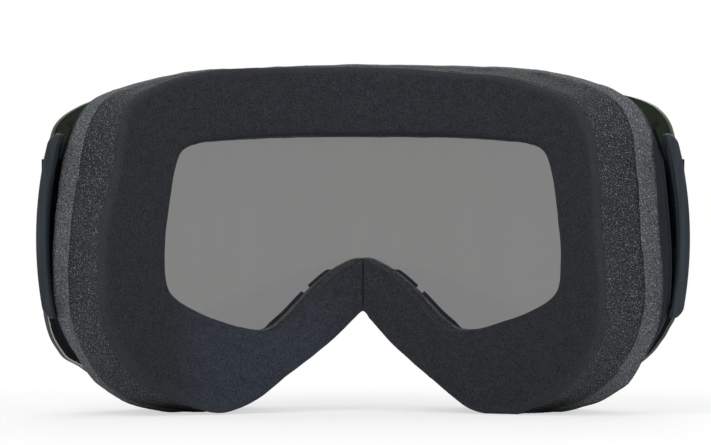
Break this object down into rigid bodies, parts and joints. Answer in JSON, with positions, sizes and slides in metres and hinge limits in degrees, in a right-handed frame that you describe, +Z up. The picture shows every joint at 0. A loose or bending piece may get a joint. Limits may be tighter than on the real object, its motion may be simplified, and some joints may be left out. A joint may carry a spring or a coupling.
{
  "type": "motocross goggles",
  "caption": "Motocross goggles without their strap: curved lens, soft vented frame, layered face foam with a nose notch, and hinged side outriggers with strap slots.",
  "frame": {"origin": "on the ground under the middle of the width and of the depth, standing on the two cheek lobes", "axes": "+X is the wearer's right, +Y the way the wearer looks, +Z up"},
  "size_m": [0.1856, 0.0742, 0.1027],
  "materials": {
    "frame": "satin dark navy soft plastic",
    "face_plate": "matte near-black plastic",
    "base_foam": "dense light grey closed foam",
    "middle_foam": "coarse open-cell charcoal foam",
    "fleece": "short dark fleece",
    "filter_foam": "thin open-cell filter foam",
    "lens": "clear smoke plastic, green mirror coat outside",
    "gasket": "soft black",
    "pegs": "smooth dark plastic",
    "posts": "matte black plastic",
    "side_plate": "matte near-black plastic",
    "steel": "bright steel",
    "outrigger": "matte dark navy plastic"
  },
  "bodies": {
    "goggle_frame": {"frame": "frame", "face_plate": "face_plate", "foam_base": "base_foam", "foam_middle": "middle_foam", "face_fleece": "fleece", "top_vent_foam": "filter_foam", "bottom_vent_foam_left": "filter_foam", "bottom_vent_foam_right": "filter_foam", "lens_gasket": "gasket", "side_plate_left": "side_plate", "side_plate_right": "side_plate", "side_plate_rivets_left": "steel", "side_plate_rivets_right": "steel", "hinge_pin_left": "steel", "hinge_pin_right": "steel"},
    "lens_unit": {"lens": "lens", "lens_pegs": "pegs", "tear_off_post_left": "posts", "tear_off_post_right": "posts"},
    "outrigger_arm_left": {"outrigger_left": "outrigger"},
    "outrigger_arm_right": {"outrigger_right": "outrigger"}
  },
  "joints": [
    {"name": "outrigger_right_swing", "type": "hinge", "parent": "goggle_frame", "child": "outrigger_arm_right", "pos_m": [0.09038, -0.0192, 0.0545], "axis": [0, 0, 1], "range_deg": [0, 25]},
    {"name": "outrigger_left_swing", "type": "hinge", "parent": "goggle_frame", "child": "outrigger_arm_left", "pos_m": [-0.09038, -0.0192, 0.0545], "axis": [0, 0, -1], "range_deg": [0, 25]},
    {"name": "lens_pull", "type": "slide", "parent": "goggle_frame", "child": "lens_unit", "axis": [0, 1, 0], "range_m": [0, 0.03]}
  ]
}
